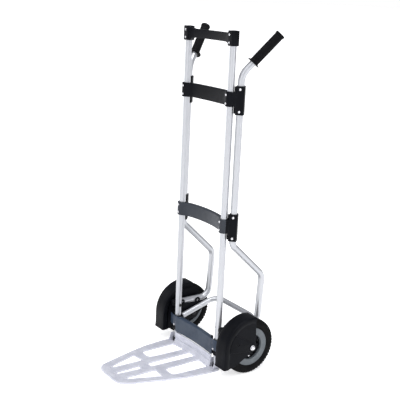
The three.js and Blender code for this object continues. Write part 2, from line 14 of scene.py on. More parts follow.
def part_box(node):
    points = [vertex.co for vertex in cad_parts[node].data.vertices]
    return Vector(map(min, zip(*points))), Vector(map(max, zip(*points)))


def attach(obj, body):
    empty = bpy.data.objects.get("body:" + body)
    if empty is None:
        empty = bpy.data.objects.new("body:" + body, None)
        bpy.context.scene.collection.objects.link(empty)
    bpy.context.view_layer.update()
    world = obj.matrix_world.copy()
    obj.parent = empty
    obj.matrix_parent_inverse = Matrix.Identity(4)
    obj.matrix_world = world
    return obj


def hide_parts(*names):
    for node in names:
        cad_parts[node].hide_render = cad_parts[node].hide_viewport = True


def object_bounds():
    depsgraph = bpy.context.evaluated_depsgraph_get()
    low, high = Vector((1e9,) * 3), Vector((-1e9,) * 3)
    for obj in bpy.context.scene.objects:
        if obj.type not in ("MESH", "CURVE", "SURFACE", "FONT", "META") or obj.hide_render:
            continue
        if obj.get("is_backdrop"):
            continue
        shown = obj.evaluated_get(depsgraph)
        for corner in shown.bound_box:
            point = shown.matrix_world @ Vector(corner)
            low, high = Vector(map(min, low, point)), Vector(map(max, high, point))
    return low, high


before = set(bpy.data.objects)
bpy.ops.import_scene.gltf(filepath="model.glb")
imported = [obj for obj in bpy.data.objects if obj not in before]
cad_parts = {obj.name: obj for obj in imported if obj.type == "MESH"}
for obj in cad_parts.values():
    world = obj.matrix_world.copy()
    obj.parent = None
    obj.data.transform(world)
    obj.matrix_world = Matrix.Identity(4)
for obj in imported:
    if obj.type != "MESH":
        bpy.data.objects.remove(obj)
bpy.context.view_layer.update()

MM = 0.001

# ---- places and sizes taken from the frame ----


def node_span(node):
    """Lowest and highest corner of a CAD node, in millimetres from the posts' foot."""
    low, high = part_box(node)
    return low / MM - Vector((0, SETBACK, 0)), high / MM - Vector((0, SETBACK, 0))


SETBACK = sum(corner.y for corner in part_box("right_post")) / 2 / MM
_low, _high = node_span("right_post")
POST_X = (_low.x + _high.x) / 2
TUBE_RADIUS = (_high.x - _low.x) / 2
POST_BOTTOM, POST_TOP = _low.z, _high.z
REAR_X = node_span("right_rear_tube")[0].x + TUBE_RADIUS
_low, _high = node_span("right_axle_nut")
AXLE_Y, AXLE_Z = (_low.y + _high.y) / 2, (_low.z + _high.z) / 2
_low, _high = node_span("right_tyre")
WHEEL_X = (_low.x + _high.x) / 2
WHEEL_RADIUS = (_high.z - _low.z) / 2
TYRE_HALF_WIDTH = (_high.x - _low.x) / 2
_low, _high = node_span("right_fender")
FENDER_IN, FENDER_OUT = _low.x, _high.x
FENDER_BOTTOM = _low.z
FENDER_RADIUS = _high.z - AXLE_Z
FENDER_Y = _low.y + FENDER_RADIUS
UPPER_BAR = [corner.z for corner in node_span("upper_crossbar")]
MIDDLE_BAR = [corner.z for corner in node_span("middle_crossbar")]
BOTTOM_BAR = [corner.z for corner in node_span("bottom_crossbar")]
TOP_BAR = [corner.z for corner in node_span("top_bar")]
TOE_FRONT = node_span("toe_plate")[0].y
LIP_TOP = node_span("toe_plate")[1].z
HINGE_Z = sum(corner.z for corner in node_span("right_hinge_pin")) / 2
STRUT_Z = sum(corner.z for corner in node_span("right_strut_bolt")) / 2

TUBE_WALL = 1.8
TUBE_BORE = TUBE_RADIUS + 0.3  # radius of a bore round a tube
AXLE_BORE = 6.3  # radius of the holes the stub axle passes through
BAR_FRONT = -18.9  # front of the crossbars where they pass the posts

# ---- materials ----

WEAR_RADIUS = 0.0012  # metres from an edge that wear reaches
WEAR_SAMPLES = 6
WEAR_AMOUNT = 0.8
BUMP_STRENGTH = 0.6


def set_range(node, *limits):
    """Sets a Map Range node's two limits going in and two limits coming out."""
    for socket, number in zip(("From Min", "From Max", "To Min", "To Max"), limits):
        node.inputs[socket].default_value = number


def material(name, tone, other_tone, metallic=0.0, rough=(0.4, 0.5), patch=14.0,
             stretch=(1, 1, 1), grain=1400.0, grain_depth=0.00004, wear=None, specular=0.5,
             speck=0.12):
    """Procedural finish: colour patches, fine grain in colour and bump, uneven gloss, worn edges.
    patch and grain are noise scales, rough is a range and wear is the worn edges' colour."""
    made = bpy.data.materials.new(name)
    made.use_nodes = True
    nodes, links = made.node_tree.nodes, made.node_tree.links
    shader = nodes["Principled BSDF"]
    shader.inputs["Metallic"].default_value = metallic
    shader.inputs["Specular IOR Level"].default_value = specular

    coordinates = nodes.new("ShaderNodeTexCoord")
    mapping = nodes.new("ShaderNodeMapping")
    mapping.inputs["Scale"].default_value = stretch
    links.new(coordinates.outputs["Object"], mapping.inputs["Vector"])

    def noise(scale, detail, roughness=0.55):
        node = nodes.new("ShaderNodeTexNoise")
        node.inputs["Scale"].default_value = scale
        node.inputs["Detail"].default_value = detail
        node.inputs["Roughness"].default_value = roughness
        links.new(mapping.outputs["Vector"], node.inputs["Vector"])
        return node.outputs["Fac"]

    def remap(value, low, high, to_low, to_high):
        node = nodes.new("ShaderNodeMapRange")
        set_range(node, low, high, to_low, to_high)
        links.new(value, node.inputs["Value"])
        return node.outputs["Result"]

    def mix(kind, factor, first, second):
        node = nodes.new("ShaderNodeMix")
        node.data_type = "RGBA"
        node.blend_type = kind
        for socket, value in (("Factor", factor), ("A", first), ("B", second)):
            target = next(i for i in node.inputs if i.name == socket and i.enabled)
            if isinstance(value, bpy.types.NodeSocket):
                links.new(value, target)
            else:
                target.default_value = value
        return next(o for o in node.outputs if o.enabled)

    patches = noise(patch, 5)
    fine = noise(grain, 3)
    colour = mix("MIX", remap(patches, 0.35, 0.65, 0, 1), (*tone, 1), (*other_tone, 1))
    speckle = nodes.new("ShaderNodeCombineColor")
    for channel in speckle.inputs:
        links.new(remap(fine, 0.3, 0.7, 1 - speck, 1 + speck), channel)
    colour = mix("MULTIPLY", 1.0, colour, speckle.outputs["Color"])
    if wear:
        # an edge is where the true normal leaves the bevelled one
        geometry, softened = nodes.new("ShaderNodeNewGeometry"), nodes.new("ShaderNodeBevel")
        softened.samples = WEAR_SAMPLES
        softened.inputs["Radius"].default_value = WEAR_RADIUS
        bend = nodes.new("ShaderNodeVectorMath")
        bend.operation = "DOT_PRODUCT"
        links.new(geometry.outputs["Normal"], bend.inputs[0])
        links.new(softened.outputs["Normal"], bend.inputs[1])
        edge = remap(bend.outputs["Value"], 0.995, 0.93, 0, WEAR_AMOUNT)
        scuffed = nodes.new("ShaderNodeMath")
        scuffed.operation = "MULTIPLY"
        links.new(edge, scuffed.inputs[0])
        links.new(remap(noise(180, 4), 0.45, 0.6, 0.15, 1), scuffed.inputs[1])
        colour = mix("MIX", scuffed.outputs["Value"], colour, (*wear, 1))
    links.new(colour, shader.inputs["Base Color"])
    links.new(remap(noise(patch * 6, 4), 0.3, 0.7, *rough), shader.inputs["Roughness"])

    bump = nodes.new("ShaderNodeBump")
    bump.inputs["Strength"].default_value = BUMP_STRENGTH
    bump.inputs["Distance"].default_value = grain_depth
    links.new(fine, bump.inputs["Height"])
    links.new(bump.outputs["Normal"], shader.inputs["Normal"])
    return made


ALUMINIUM = material(
    "satin_aluminium", (0.52, 0.53, 0.555), (0.47, 0.48, 0.505), metallic=0.7, rough=(0.28, 0.32),
    patch=6, stretch=(1, 1, 0.06), grain=900, grain_depth=0.00002, speck=0.05)
CAST = material(
    "cast_aluminium", (0.60, 0.61, 0.67), (0.50, 0.51, 0.58), metallic=0.15, rough=(0.38, 0.55),
    patch=26, grain=700, grain_depth=0.00012, wear=(0.88, 0.88, 0.92), specular=0.3, speck=0.10)
STEEL = material(
    "zinc_steel", (0.78, 0.78, 0.80), (0.66, 0.66, 0.68), metallic=0.9, rough=(0.18, 0.34),
    patch=90, grain=1800, grain_depth=0.00003, speck=0.08)
BLACK = material(
    "black_plastic", (0.0020, 0.0024, 0.0036), (0.0040, 0.0046, 0.0066), rough=(0.32, 0.46),
    grain=1500, grain_depth=0.00005, wear=(0.030, 0.034, 0.044), specular=0.07, speck=0.25)
SLATE = material(
    "slate_plastic", (0.018, 0.031, 0.055), (0.034, 0.050, 0.078), rough=(0.30, 0.46),
    grain=1500, grain_depth=0.00008, wear=(0.20, 0.20, 0.22), specular=0.3, speck=0.18)
GRAPHITE = material(
    "graphite_plastic", (0.016, 0.020, 0.028), (0.026, 0.031, 0.041), rough=(0.30, 0.44),
    grain=1500, grain_depth=0.00006, wear=(0.11, 0.12, 0.14), specular=0.3, speck=0.2)
GREY = material(
    "grey_rim", (0.078, 0.092, 0.103), (0.108, 0.123, 0.135), rough=(0.42, 0.6), patch=40,
    grain=900, grain_depth=0.00012, speck=0.22)
TYRE = material(
    "tyre_rubber", (0.0022, 0.0023, 0.0028), (0.0052, 0.0052, 0.0056), rough=(0.60, 0.85), patch=30,
    grain=800, grain_depth=0.00012, wear=(0.026, 0.026, 0.028), specular=0.08, speck=0.3)
GRIP = material(
    "grip_rubber", (0.0018, 0.0018, 0.0026), (0.0036, 0.0036, 0.0044), rough=(0.50, 0.70),
    grain=1100, grain_depth=0.00010, wear=(0.028, 0.028, 0.032), specular=0.08, speck=0.25)
BLACK_STEEL = material(
    "black_oxide_steel", (0.010, 0.010, 0.012), (0.018, 0.018, 0.020), metallic=0.6,
    rough=(0.35, 0.5), patch=90, grain=1600, wear=(0.22, 0.22, 0.23), speck=0.2)

# ---- shapes ----

MERGE_DISTANCE = 1e-3


def skin(bm, rings, around=True, along=False, ends=False):
    """Faces between rings of points. around closes each ring, along joins the last ring to the
    first, and ends caps the first and the last."""
    rows = [[bm.verts.new(point) for point in ring] for ring in rings]
    count = len(rows[0])
    for row, following in zip(rows, rows[1:] + (rows[:1] if along else [])):
        for i in range(count if around else count - 1):
            j = (i + 1) % count
            bm.faces.new((row[i], row[j], following[j], following[i]))
    if ends:
        bm.faces.new(rows[0][::-1])
        bm.faces.new(rows[-1])


def skin_both_sides(bm, half):
    """Capped skin over a right-hand half, drawn from the middle outward, and its mirror image."""
    left = [[point * Vector((-1, 1, 1)) for point in ring] for ring in half[:0:-1]]
    skin(bm, left + half, ends=True)


def turned(bm, profile, centre=(0, 0, 0), axis=(1, 0, 0), segments=64, shape=None):
    """A profile of (across, radius) points turned about an axis. It starts and ends on the axis, or
    closes itself. shape(across, radius, angle) may return a changed radius."""
    turn = Vector((1, 0, 0)).rotation_difference(Vector(axis))
    rings = []
    for i in range(segments):
        angle = 2 * math.pi * i / segments
        ring = []
        for across, radius in profile:
            r = shape(across, radius, angle) if shape else radius
            point = Vector((across, r * math.cos(angle), r * math.sin(angle)))
            ring.append(Vector(centre) + turn @ point)
        rings.append(ring)
    closed = profile[0][1] > 0
    skin(bm, rings, around=closed, along=True)
    bmesh.ops.remove_doubles(bm, verts=bm.verts, dist=MERGE_DISTANCE)


def arc(cx, cy, radius, start, end, steps=8):
    """Points along an arc, angles in degrees."""
    angles = [math.radians(start + (end - start) * i / steps) for i in range(steps + 1)]
    return [(cx + radius * math.cos(a), cy + radius * math.sin(a)) for a in angles]


def circle(cx, cy, radius, steps=24):
    return arc(cx, cy, radius, 0, 360, steps)[:-1]


def cubic(p, q, r, s, steps=14):
    """Points along a Bezier curve from p to s."""
    p, q, r, s = map(Vector, (p, q, r, s))
    points = []
    for i in range(steps + 1):
        t = i / steps
        u = 1 - t
        points.append(tuple(p * u ** 3 + q * 3 * t * u ** 2 + r * 3 * t * t * u + s * t ** 3))
    return points


def square(cx, half):
    """Corners of a square centred on the X axis, anticlockwise."""
    return [(cx - half, -half), (cx + half, -half), (cx + half, half), (cx - half, half)]


def round_axle(radius, steps=24):
    """Circle about the axle, in Y and Z."""
    return circle(AXLE_Y, AXLE_Z, radius, steps)


def from_axle(radius, angle):
    """Point (y, z) at a distance from the axle, angle in radians."""
    return AXLE_Y + radius * math.cos(angle), AXLE_Z + radius * math.sin(angle)


def share(value, start, length):
    """0 up to start, 1 from start + length on, and straight between them."""
    return min(max((value - start) / length, 0), 1)


def eased(first, last, t):
    """A smooth step from first to last, as t goes from 0 to 1."""
    return first + (last - first) * t * t * (3 - 2 * t)


def rounded(corners, radius, steps=6):
    """A polygon with its corners rounded; radius is one number or one for each corner."""
    points = []
    count = len(corners)
    for i, corner in enumerate(corners):
        here = Vector(corner)
        before = Vector(corners[i - 1]) - here
        after = Vector(corners[(i + 1) % count]) - here
        r = radius[i] if isinstance(radius, (list, tuple)) else radius
        half = before.angle(after) / 2
        reach = min(r / math.tan(half), before.length * 0.49, after.length * 0.49)
        start = here + before.normalized() * reach
        end = here + after.normalized() * reach
        for k in range(steps + 1):
            t = k / steps
            points.append(tuple(start * (1 - t) ** 2 + here * 2 * t * (1 - t) + end * t * t))
    return points


def grown(corners, distance):
    """A convex polygon, anticlockwise, with every side moved outward."""
    count = len(corners)
    lines = []
    for i, corner in enumerate(corners):
        here, after = Vector(corner), Vector(corners[(i + 1) % count])
        direction = (after - here).normalized()
        lines.append((here + Vector((direction.y, -direction.x)) * distance, direction))
    points = []
    for i in range(count):
        (p, d), (q, e) = lines[i - 1], lines[i]
        cross = d.x * e.y - d.y * e.x
        t = ((q.x - p.x) * e.y - (q.y - p.y) * e.x) / cross
        points.append(tuple(p + d * t))
    return points


# planes to draw an outline in: XY is thick along Z, YZ along X and XZ along -Y
XY = Matrix.Identity(4)
YZ = Matrix(((0, 0, 1, 0), (1, 0, 0, 0), (0, 1, 0, 0), (0, 0, 0, 1)))
XZ = Matrix(((1, 0, 0, 0), (0, 0, -1, 0), (0, 1, 0, 0), (0, 0, 0, 1)))


def slab(bm, outline, low, high, bevel=0.8, holes=(), plane=XY, rounding=2):
    """An outline with holes, made thick from low to high, its edges rounded by bevel."""
    curve = bpy.data.curves.new("outline", "CURVE")
    curve.dimensions = "2D"
    curve.fill_mode = "BOTH"
    curve.extrude = (high - low) / 2 - bevel
    curve.bevel_depth = bevel
    curve.bevel_resolution = rounding
    curve.offset = -bevel
    for loop in (outline, *holes):
        spline = curve.splines.new("POLY")
        spline.points.add(len(loop) - 1)
        for point, (x, y) in zip(spline.points, loop):
            point.co = (x, y, 0, 1)
        spline.use_cyclic_u = True
    holder = bpy.data.objects.new("outline", curve)
    mesh = bpy.data.meshes.new_from_object(holder)
    bpy.data.objects.remove(holder)
    bpy.data.curves.remove(curve)
    mesh.transform(plane @ Matrix.Translation((0, 0, (low + high) / 2)))
    part = bmesh.new()
    part.from_mesh(mesh)
    bmesh.ops.remove_doubles(part, verts=part.verts, dist=MERGE_DISTANCE)
    joined = bpy.data.meshes.new("joined")
    part.to_mesh(joined)
    bm.from_mesh(joined)
    part.free()
    bpy.data.meshes.remove(mesh)
    bpy.data.meshes.remove(joined)


def bent(corners, steps=12):
    """Stations (point, tangent) along straight runs joined by bends. corners are (x, y, z, bend
    radius); the two ends need no radius."""
    stations = []
    points = [Vector(corner[:3]) for corner in corners]
    for i, corner in enumerate(corners):
        if i in (0, len(corners) - 1):
            other = points[1] - points[0] if i == 0 else points[-1] - points[-2]
            stations.append((points[i], other.normalized()))
            continue
        into = (points[i] - points[i - 1]).normalized()
        out = (points[i + 1] - points[i]).normalized()
        turn = into.angle(out)
        radius = corner[3]
        start = points[i] - into * radius * math.tan(turn / 2)
        inward = (out - into * out.dot(into)).normalized()
        for k in range(steps + 1):
            a = turn * k / steps
            place = start + into * radius * math.sin(a) + inward * radius * (1 - math.cos(a))
            stations.append((place, into * math.cos(a) + inward * math.sin(a)))
    return stations


def tube(bm, stations, radius, wall, sides=40, side_axis=(1, 0, 0)):
    """A hollow round tube along stations, closed at its ends by the wall's rim."""
    rings = []
    for r, order in ((radius, stations), (radius - wall, stations[::-1])):
        for place, tangent in order:
            across = Vector(side_axis)
            across = (across - tangent * across.dot(tangent)).normalized()
            up = tangent.cross(across)
            rings.append([place + across * r * math.cos(a) + up * r * math.sin(a)
                          for a in (2 * math.pi * i / sides for i in range(sides))])
    skin(bm, rings, along=True)


def finish(bm, name, body, finish_material, nodes=(), mirrored=False, sharp=32):
    """Turns a drawn shape into a piece that rides on a body and stands for CAD nodes."""
    bmesh.ops.recalc_face_normals(bm, faces=bm.faces)
    mesh = bpy.data.meshes.new(name)
    bm.to_mesh(mesh)
    mesh.transform(Matrix.Scale(MM, 4) @ Matrix.Translation((0, SETBACK, 0)))
    if mirrored:
        mesh.transform(Matrix.Scale(-1, 4, (1, 0, 0)))
        mesh.flip_normals()
    mesh.shade_smooth()
    mesh.set_sharp_from_angle(angle=math.radians(sharp))
    mesh.materials.append(finish_material)
    piece = bpy.data.objects.new(name, mesh)
    bpy.context.scene.collection.objects.link(piece)
    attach(piece, body)
    if nodes:
        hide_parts(*nodes)


def piece(name, body, finish_material, nodes=(), sharp=32):
    """Decorator: draws a single piece."""
    def draw(shape):
        bm = bmesh.new()
        shape(bm)
        finish(bm, name, body, finish_material, nodes, sharp=sharp)
        bm.free()
    return draw


def pair(name, body, finish_material, nodes=(), sharp=32):
    """Decorator: draws the right-hand piece and its mirror image. {side} in a name, body or node
    becomes right or left."""
    def draw(shape):
        bm = bmesh.new()
        shape(bm)
        for side in ("right", "left"):
            finish(bm, name.format(side=side), body.format(side=side), finish_material,
                   [node.format(side=side) for node in nodes], side == "left", sharp)
        bm.free()
    return draw


# ---- tubes ----

REAR_Y = 25  # the rear tubes' upright run
HANDLE_SLOPE, HANDLE_SPLAY = math.radians(48.4), math.radians(29.6)
HANDLE = Vector((math.cos(HANDLE_SLOPE) * math.sin(HANDLE_SPLAY),
                 math.cos(HANDLE_SLOPE) * math.cos(HANDLE_SPLAY),
                 math.sin(HANDLE_SLOPE)))  # direction the right handle points in
HANDLE_BEND = Vector((REAR_X, REAR_Y, 1125.8))
GRIP_START, GRIP_LENGTH = 56.5, 138  # along the handle from its bend


@pair("{side}_post_tube", "frame", ALUMINIUM, ["{side}_post"])
def post(bm):
    ends = [(POST_X, 0, POST_BOTTOM), (POST_X, 0, POST_TOP)]
    tube(bm, bent(ends), TUBE_RADIUS, TUBE_WALL, sides=48)


@pair("{side}_rear_tube_bent", "frame", ALUMINIUM, ["{side}_rear_tube"])
def rear_tube(bm):
    tip = HANDLE_BEND + HANDLE * (GRIP_START + GRIP_LENGTH - 6)
    tube(bm, bent([
        tip,
        (*HANDLE_BEND, 70),
        (REAR_X, REAR_Y, 499.3, 35),  # from the upright run to the slanted one
        (REAR_X, 175, 360, 48),  # from the slanted run to the lower one
        (REAR_X, 165.3, STRUT_Z, 42),  # from the lower run to the strut
        (REAR_X, -9, STRUT_Z),
    ]), TUBE_RADIUS, TUBE_WALL)


@piece("rear_brace_tube", "frame", ALUMINIUM, ["rear_brace"])
def rear_brace(bm):
    radius, half, bend = 11, 135, 45
    front, rear = (18.5, 112.5), (186.6, 165.5)
    path = [(-half, *front), (-half, *rear, bend), (half, *rear, bend), (half, *front)]
    tube(bm, bent(path), radius, TUBE_WALL, side_axis=(0, -0.28, 0.96))


@pair("{side}_grip_ribbed", "frame", GRIP, ["{side}_grip"])
def grip(bm):
    ribs, rib_depth, end_wall, end = 26, 0.75, 5, GRIP_LENGTH
    barrel = 16.7  # radius over the ribs
    flange = [(0, 24.2), (0.5, 24.8), (1.4, 25), (2.4, 24.6), (2.9, 23.5), (3.8, 19.2),
              (5.5, 17.4), (8, 16.9), (11, barrel), (12.2, 15.9), (13.5, barrel)]
    middle = [(16 + 4 * i, barrel) for i in range(27)]
    knob = [(end - 14, barrel), (end - 12.6, 15.9), (end - 11, 16.8), (end - 8, 17.3),
            (end - 4.5, 18.3), (end - 1.6, 18.3), (end - 0.4, 17.2), (end, 15.5)]
    outer = flange + middle + knob

    def ribbed(across, radius, angle):
        if not (14 < across < end - 15 and radius > 15):
            return radius
        return radius - rib_depth * (1 - abs(math.sin(ribs * angle / 2))) ** 1.5

    inner = [(0, TUBE_BORE), (end - end_wall, TUBE_BORE), (end - end_wall, 0)]
    centre = HANDLE_BEND + HANDLE * GRIP_START
    turned(bm, [(end, 0), *outer[::-1], *inner], centre, HANDLE, ribs * 6, ribbed)


# ---- crossbars ----

BOW_END_X = 98  # the bow of the upper and middle crossbars ends here
WRAP_RADIUS = -BAR_FRONT - 0.1
WRAP_START, WRAP_END = 232, 345  # degrees round the post that a crossbar covers
BAR_DEPTH, BAR_WALL = 15, 2.8
RIB_HALF = 0.9  # half the thickness of the ribs behind the crossbars


def bar_path(bow):
    """Plan of a crossbar's front face from the middle to its end: a bow, then round the post.
    bow maps X to Y; the points come with their outward normals."""
    path = [Vector((x, bow(x))) for x in (BOW_END_X * i / 12 for i in range(13))]
    slope = bow(BOW_END_X) - bow(BOW_END_X - 1)
    start = path[-1]
    angle = math.radians(WRAP_START)
    end = Vector((POST_X + WRAP_RADIUS * math.cos(angle), WRAP_RADIUS * math.sin(angle)))
    away = Vector((1, slope)).normalized() * 13
    arriving = Vector((-math.sin(angle), math.cos(angle))) * 12
    between = cubic(start, start + away, end - arriving, end, 9)[1:-1]
    wrap = arc(POST_X, 0, WRAP_RADIUS, WRAP_START, WRAP_END, 16)
    path += [Vector(point) for point in between + wrap]
    normals = []
    for i in range(len(path)):
        along = path[min(i + 1, len(path) - 1)] - path[max(i - 1, 0)]
        normals.append(Vector((along.y, -along.x)).normalized())
    return path, normals


def channel(depth, low, high, edge):
    """Cross-section of a crossbar as (depth behind the front face, z): a C open to the rear.
    edge is the radius of the front edges."""
    wall, corner = BAR_WALL, 0.3
    quarter = [math.pi / 2 * i / 5 for i in range(6)]
    outer = [(depth, low)]
    outer += [(edge - edge * math.sin(a), low + edge - edge * math.cos(a)) for a in quarter]
    outer += [(edge - edge * math.cos(a), high - edge + edge * math.sin(a)) for a in quarter]
    outer += [(depth, high)]
    inner = [(depth, high - wall), (wall + corner, high - wall), (wall, high - wall - corner),
             (wall, low + wall + corner), (wall + corner, low + wall), (depth, low + wall)]
    return outer + inner


def bar_rib(bm, x, outline):
    """Upright rib behind a crossbar, outlined in Y and Z."""
    slab(bm, outline, x - RIB_HALF, x + RIB_HALF, 0.3, plane=YZ)


def crossbar(bm, low, high, bow, widening):
    """A bowed channel whose front wall wraps the posts; its flanges fade out before them, and the
    wall gets taller there by widening, above and below."""
    edge, rib_x = 2.5, 35
    fade_start, fade_length = 100, 22
    half = []
    for place, normal in zip(*bar_path(bow)):
        fade = share(place.x, fade_start, fade_length)
        flange = eased(BAR_DEPTH, BAR_WALL + 0.4, fade)
        more = widening * fade
        section = channel(flange, low - more, high + more, min(edge, flange * 0.8))
        half.append([Vector((*(place - normal * back), z)) for back, z in section])
    skin_both_sides(bm, half)
    front = bow(rib_x) + BAR_WALL - 0.5
    back = front + BAR_DEPTH - BAR_WALL
    rib = rounded([(front, low + 1), (back, low + 1), (back, high - 1), (front, high - 1)], 0.6, 2)
    for side in (-1, 1):
        bar_rib(bm, side * rib_x, rib)


@piece("upper_crossbar_bowed", "frame", BLACK, ["upper_crossbar"])
def upper_crossbar(bm):
    crossbar(bm, *UPPER_BAR, lambda x: 4 - 3.5 * (x / BOW_END_X) ** 2, 0.8)


@piece("middle_crossbar_bowed", "frame", GRAPHITE, ["middle_crossbar"])
def middle_crossbar(bm):
    crossbar(bm, *MIDDLE_BAR, lambda x: 13 - 11 * (x / BOW_END_X) ** 2.2, 0.4)


@piece("bottom_crossbar_panel", "frame", SLATE, ["bottom_crossbar"])
def bottom_crossbar(bm):
    low, high = BOTTOM_BAR
    wall, depth, edge, end_x, steps = BAR_WALL, BAR_DEPTH, 4.5, 127, 32
    flange_low, flange_top = 4.6, 7.5  # the lower flange, above the skirt's edge
    fade_start, fade_length = 106, 14  # where the flanges fade out

    def front(x):
        """Y of the front face: a bow that runs into the tab over the post."""
        bow = -11.5 - 5 * (min(x, 112) / 104) ** 2
        return eased(bow, BAR_FRONT, share(x, 104, 22))

    # front wall with a rounded top edge, two flanges behind it and a skirt below the lower one
    half = []
    for i in range(steps + 1):
        x = end_x * i / steps
        back = eased(depth, wall + 2, share(x, fade_start, fade_length))
        section = [(wall, low), (0.8, low), (0, low + 0.8)]
        section += [(edge - edge * math.cos(a), high - edge + edge * math.sin(a))
                    for a in (math.pi / 2 * k / 6 for k in range(7))]
        section += [(back, high), (back, high - 2.6), (wall + 2.5, high - 2.6), (wall, high - 5),
                    (wall, low + flange_top), (back, low + flange_top), (back, low + flange_low),
                    (wall, low + flange_low)]
        half.append([Vector((x, front(x) + d, z)) for d, z in section])
    skin_both_sides(bm, half)
    # tab over the post and on to the fender, with a bead where the panel meets it
    tab = [(125, -17.9), (129, -18.9), (145, -18.9), (152, -18.2), (160, -16.4), (171, -13.2),
           (171, -10.6), (160, -13.6), (152, -15.4), (145, -16.1), (125, -15.1)]
    tab_low, bead_low, bead_x = 77, 84, 130.5
    for side in (-1, 1):
        plan = [(side * x, y) for x, y in tab][::side]
        slab(bm, plan, tab_low, high + 0.5, 1.0, rounding=3)
        bead = circle(side * bead_x, BAR_FRONT + 0.6, 1.5, 12)
        slab(bm, bead, bead_low, high - 3, 0.5)
        for x in (30, 62):
            y = front(x) + wall - 0.3
            rib = [(y, low + 6), (y + 11, low + 6), (y + 11, high - 1), (y, high - 1)]
            bar_rib(bm, side * x, rib)


@piece("top_bar_with_caps", "frame", BLACK, ["top_bar"])
def top_bar(bm):
    cap_half, depth, low, high = 15.6, 16, 1235, 1267
    flare = 26  # the bar flares over this length before each cap
    rings = []
    for i in range(41):
        x = (POST_X - cap_half + 2) * (i / 20 - 1)
        gap = POST_X - cap_half - abs(x)
        near = max(0, 1 - gap / flare) ** 2
        bottom, top = low - 10.5 * near, high + 6 * near
        front = -1 - 10 * (x / POST_X) ** 2 - 1.5 * near
        back = front + depth + 3 * near
        outline = [(front, bottom), (back, bottom), (back, top), (front, top)]
        rings.append([Vector((x, y, z)) for y, z in rounded(outline, 3.2, 4)])
    skin(bm, rings, ends=True)
    for side in (-1, 1):
        cap = square(side * POST_X, cap_half)
        slab(bm, rounded(cap, 6, 5), *TOP_BAR, 2.6, rounding=3)


# ---- brackets on the posts ----

DIAGONAL = math.atan2(REAR_Y, REAR_X - POST_X)  # direction from a post to its rear tube
REACH = math.hypot(REAR_Y, REAR_X - POST_X)
SLEEVE_HALF, SLEEVE_DROP, SLEEVE_HEIGHT = 16.0, 3, 103
COLLAR = 15.9  # outer radius of the collars round the posts


def tube_bracket(bm, bar):
    """A sleeve round the rear tube, a collar round the post at the crossbar's height, and a thin
    black web that is a painted reflection of the bracket on the post.
    """
    middle = sum(bar) / 2
    place = Matrix.Translation((POST_X, 0, 0)) @ Matrix.Rotation(DIAGONAL, 4, "Z")
    low, high = middle - SLEEVE_DROP - SLEEVE_HEIGHT / 2, middle - SLEEVE_DROP + SLEEVE_HEIGHT / 2
    sleeve = rounded(square(REACH, SLEEVE_HALF), 7, 5)
    slab(bm, sleeve, low, high, 1.6, [circle(REACH, 0, TUBE_BORE, 32)], place)
    seam = REACH - SLEEVE_HALF
    collar = arc(0, 0, COLLAR, 90, 270, 14)
    collar += rounded([(seam + 2, -COLLAR), (seam + 5, -COLLAR + 4), (seam + 5, COLLAR - 4),
                       (seam + 2, COLLAR)], 0.5, 1)
    slab(bm, collar, bar[0] + 0.5, bar[1] - 0.5, 0.9, [circle(0, 0, TUBE_BORE, 32)], place)
    # thin web between the tubes, running almost the sleeve's whole height: a black sheet put where
    # the post shows only a reflection of the bracket, so a painted reflection
    near, far, half = 13.2, 20.4, 1.6
    painted_reflection_web = [(near, low + 4), (far, low + 2), (far, high - 2), (near, high - 4),
           (near, bar[1] + 8), (near, bar[0] - 8)]
    slab(bm, painted_reflection_web, -half, half, 0.4, plane=place @ XZ)


@pair("{side}_upper_bracket_moulded", "frame", BLACK, ["{side}_upper_bracket"])
def upper_bracket(bm):
    tube_bracket(bm, UPPER_BAR)


@pair("{side}_middle_bracket_moulded", "frame", BLACK, ["{side}_middle_bracket"])
def middle_bracket(bm):
    tube_bracket(bm, MIDDLE_BAR)


@pair("{side}_axle_bracket_moulded", "frame", BLACK, ["{side}_axle_bracket"])
def axle_bracket(bm):
    low, high = BOTTOM_BAR
    collar = circle(POST_X, 0, COLLAR, 40)
    slab(bm, collar, low + 1, high - 0.5, 0.8, [circle(POST_X, 0, TUBE_BORE, 32)])
    # upright plate from the post to behind the axle, with two eyes along its top edge
    plate_x, half = 148.8, 1.4
    rear_eye, front_eye = (101, 162), (27, 166)
    plate = [(6, 62), *arc(AXLE_Y, AXLE_Z, 25, 238, 338, 10), (148, 149), (151, 152), (150, 157.5),
             (113, 157.5), *arc(*rear_eye, 11.5, -12, 190, 14), (84, 153), (40, 157),
             *arc(*front_eye, 10.5, -30, 165, 14), (13, 160), (13, 118), (6, 118)]
    holes = [circle(*rear_eye, 5, 20), circle(*front_eye, 4.5, 20), round_axle(AXLE_BORE)]
    slab(bm, plate, plate_x - half, plate_x + half, 0.6, holes, YZ)
    # boss round the axle
    face = plate_x + half
    slab(bm, round_axle(15, 32), face - 0.4, face + 5, 0.8, [round_axle(9.4)], YZ)
    # wing that reaches out to the fender, and a block behind the panel's end
    wing = [(POST_X + 10, -13.6), (171, -10.2), (171, -7), (POST_X + 10, -9)]
    slab(bm, wing, low + 3, high - 3, 0.8)
    block = [(117, -13.8), (POST_X - 6, -13.8), (POST_X - 6, -5), (117, -5)]
    slab(bm, block, low + 4.5, 104, 0.8)


@pair("{side}_strut_end_cap", "frame", BLACK)
def strut_cap(bm):
    """Plastic cap over the strut's open end."""
    r, length, front = TUBE_RADIUS + 0.7, 17.6, -11.5
    profile = [(0, 0), (0, r - 2.5), (0.7, r - 0.9), (2.2, r), (17, r), (length, r - 0.5),
               (length, 0)]
    turned(bm, profile, (REAR_X, front, STRUT_Z), (0, 1, 0), segments=48)


# ---- fasteners ----


def placed(point, outward):
    """Matrix that puts a piece drawn about +X at a point, facing outward."""
    turn = Vector((1, 0, 0)).rotation_difference(Vector(outward))
    return Matrix.Translation(point) @ turn.to_matrix().to_4x4()


